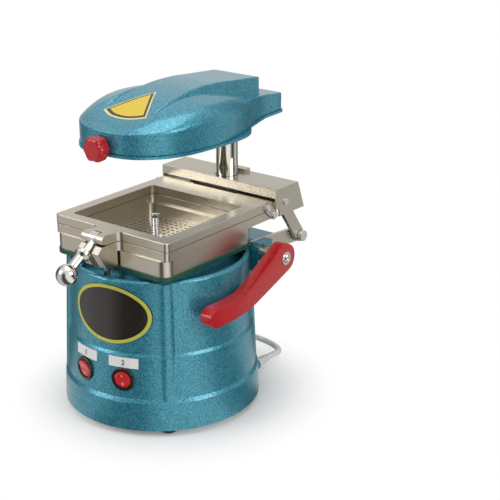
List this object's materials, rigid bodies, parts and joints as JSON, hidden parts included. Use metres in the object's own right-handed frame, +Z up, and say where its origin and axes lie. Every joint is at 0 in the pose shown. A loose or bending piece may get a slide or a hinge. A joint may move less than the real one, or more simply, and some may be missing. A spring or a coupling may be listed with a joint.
{
  "type": "dental vacuum former",
  "caption": "Dental vacuum former: tiered round base with a square forming well, hinged sheet frames lifted on a rear column by a side lever, and a domed heater head that swings aside.",
  "frame": {"origin": "centre of the machine's own footprint box, without the cord, on the surface that its feet stand on", "axes": "+Z up; -Y the front with the switches and the clamp; +X the side of the lifting lever"},
  "size_m": [0.2396, 0.2937, 0.3086],
  "materials": {
    "hammertone_enamel": "teal-blue hammertone enamel over cast aluminium",
    "rim_enamel": "teal-blue enamel over cast aluminium",
    "cast_nickel": "satin, nickel plated",
    "sheet_steel": "satin plated sheet",
    "chrome": "polished",
    "plain_steel": "ground",
    "bearing_brass": "turned",
    "red_plastic": "glossy",
    "black_plastic": "semi-gloss",
    "green_gasket": "moulded",
    "black_rubber": "moulded",
    "cord_white": "white, smooth",
    "plug_plastic": "moulded, white",
    "label_white": "printed film",
    "label_yellow": "printed film",
    "badge_black": "lacquered, with a yellow border",
    "reflector_metal": "polished sheet",
    "motor_enamel": "black enamel",
    "coil_steel": "oxidised sheath",
    "ceramic": "fired, unglazed"
  },
  "bodies": {
    "base": {"base_shell": "hammertone_enamel", "bottom_plate": "plain_steel", "foot_1": "black_rubber", "foot_2": "black_rubber", "foot_3": "black_rubber", "foot_4": "black_rubber", "platform_gasket": "green_gasket", "forming_platform": "cast_nickel", "perforated_plate": "sheet_steel", "centre_stud": "chrome", "column": "chrome", "column_nut": "plain_steel", "fan_housing": "reflector_metal", "motor_can": "motor_enamel", "switch_bezel_1": "black_plastic", "switch_bezel_2": "black_plastic", "switch_label_1": "label_white", "switch_label_2": "label_white", "badge": "badge_black", "cord_gland": "cord_white", "power_cord": "cord_white", "cord_coil": "cord_white", "cord_tail": "cord_white", "plug_body": "plug_plastic", "plug_pins": "bearing_brass"},
    "fan": {"impeller": "reflector_metal", "motor_rotor": "plain_steel"},
    "rocker_left": {"rocker_1": "red_plastic"},
    "rocker_right": {"rocker_2": "red_plastic"},
    "carriage": {"lower_frame": "cast_nickel", "sheet_seal": "black_rubber", "slider_block": "cast_nickel", "guide_bush": "bearing_brass", "carriage_cover": "sheet_steel", "lock_screw": "chrome", "hinge_pins": "chrome", "link_pivot_pin": "chrome", "guide_pin": "plain_steel"},
    "upper": {"upper_frame": "cast_nickel", "hinge_plate_l": "sheet_steel", "hinge_plate_r": "sheet_steel", "hinge_screws": "chrome", "clamp_pivot_pin": "plain_steel"},
    "bolt": {"clamp_bolt": "chrome"},
    "ball": {"clamp_ball": "chrome"},
    "lever": {"lever_handle": "red_plastic", "lever_shaft": "plain_steel", "crank_arm": "sheet_steel", "crank_pin": "chrome", "lever_screw": "chrome", "lever_washer": "chrome"},
    "link": {"link_arm": "sheet_steel"},
    "head": {"head_shell": "hammertone_enamel", "head_rim": "rim_enamel", "reflector": "reflector_metal", "heating_coil": "coil_steel", "coil_insulators": "ceramic", "head_bush": "bearing_brass", "head_knob": "red_plastic", "head_label": "label_yellow"}
  },
  "joints": [
    {"name": "head_swing", "type": "hinge", "parent": "base", "child": "head", "pos_m": [-0.0055, 0.09238, 0.262], "axis": [0, 0, 1], "range_deg": [-100, 100]},
    {"name": "carriage_lift", "type": "slide", "parent": "base", "child": "carriage", "axis": [0, 0, 1], "range_m": [0, 0.03264]},
    {"name": "lever_turn", "type": "hinge", "parent": "base", "child": "lever", "pos_m": [-0.0055, 0.05208, 0.147], "axis": [1, 0, 0], "range_deg": [0, 24]},
    {"name": "link_turn", "type": "hinge", "parent": "carriage", "child": "link", "pos_m": [-0.0055, 0.09298, 0.1875], "axis": [1, 0, 0], "range_deg": [-4, 0]},
    {"name": "frame_open", "type": "hinge", "parent": "carriage", "child": "upper", "pos_m": [-0.0055, 0.07678, 0.1776], "axis": [-1, 0, 0], "range_deg": [0, 17]},
    {"name": "clamp_swing", "type": "hinge", "parent": "upper", "child": "bolt", "pos_m": [-0.0055, -0.09782, 0.1874], "axis": [-1, 0, 0], "range_deg": [0, 95]},
    {"name": "ball_turn", "type": "hinge", "parent": "bolt", "child": "ball", "pos_m": [-0.0055, -0.09782, 0.1874], "axis": [0, -0.8425, -0.5388], "continuous": true},
    {"name": "rocker_left_tip", "type": "hinge", "parent": "base", "child": "rocker_left", "pos_m": [-0.02191, -0.10274, 0.055], "axis": [-0.9839, 0.1788, 0], "range_deg": [0, 20]},
    {"name": "rocker_right_tip", "type": "hinge", "parent": "base", "child": "rocker_right", "pos_m": [0.02332, -0.09958, 0.0555], "axis": [-0.9494, -0.314, 0], "range_deg": [0, 20]},
    {"name": "impeller_spin", "type": "hinge", "parent": "base", "child": "fan", "pos_m": [-0.0055, -0.01242, 0.12], "axis": [0, 0, 1], "continuous": true}
  ],
  "couplings": [
    {"joint": "lever_turn", "follows": "carriage_lift", "rad_per_m": 12.832},
    {"joint": "link_turn", "follows": "carriage_lift", "rad_per_m": -2.1291}
  ]
}
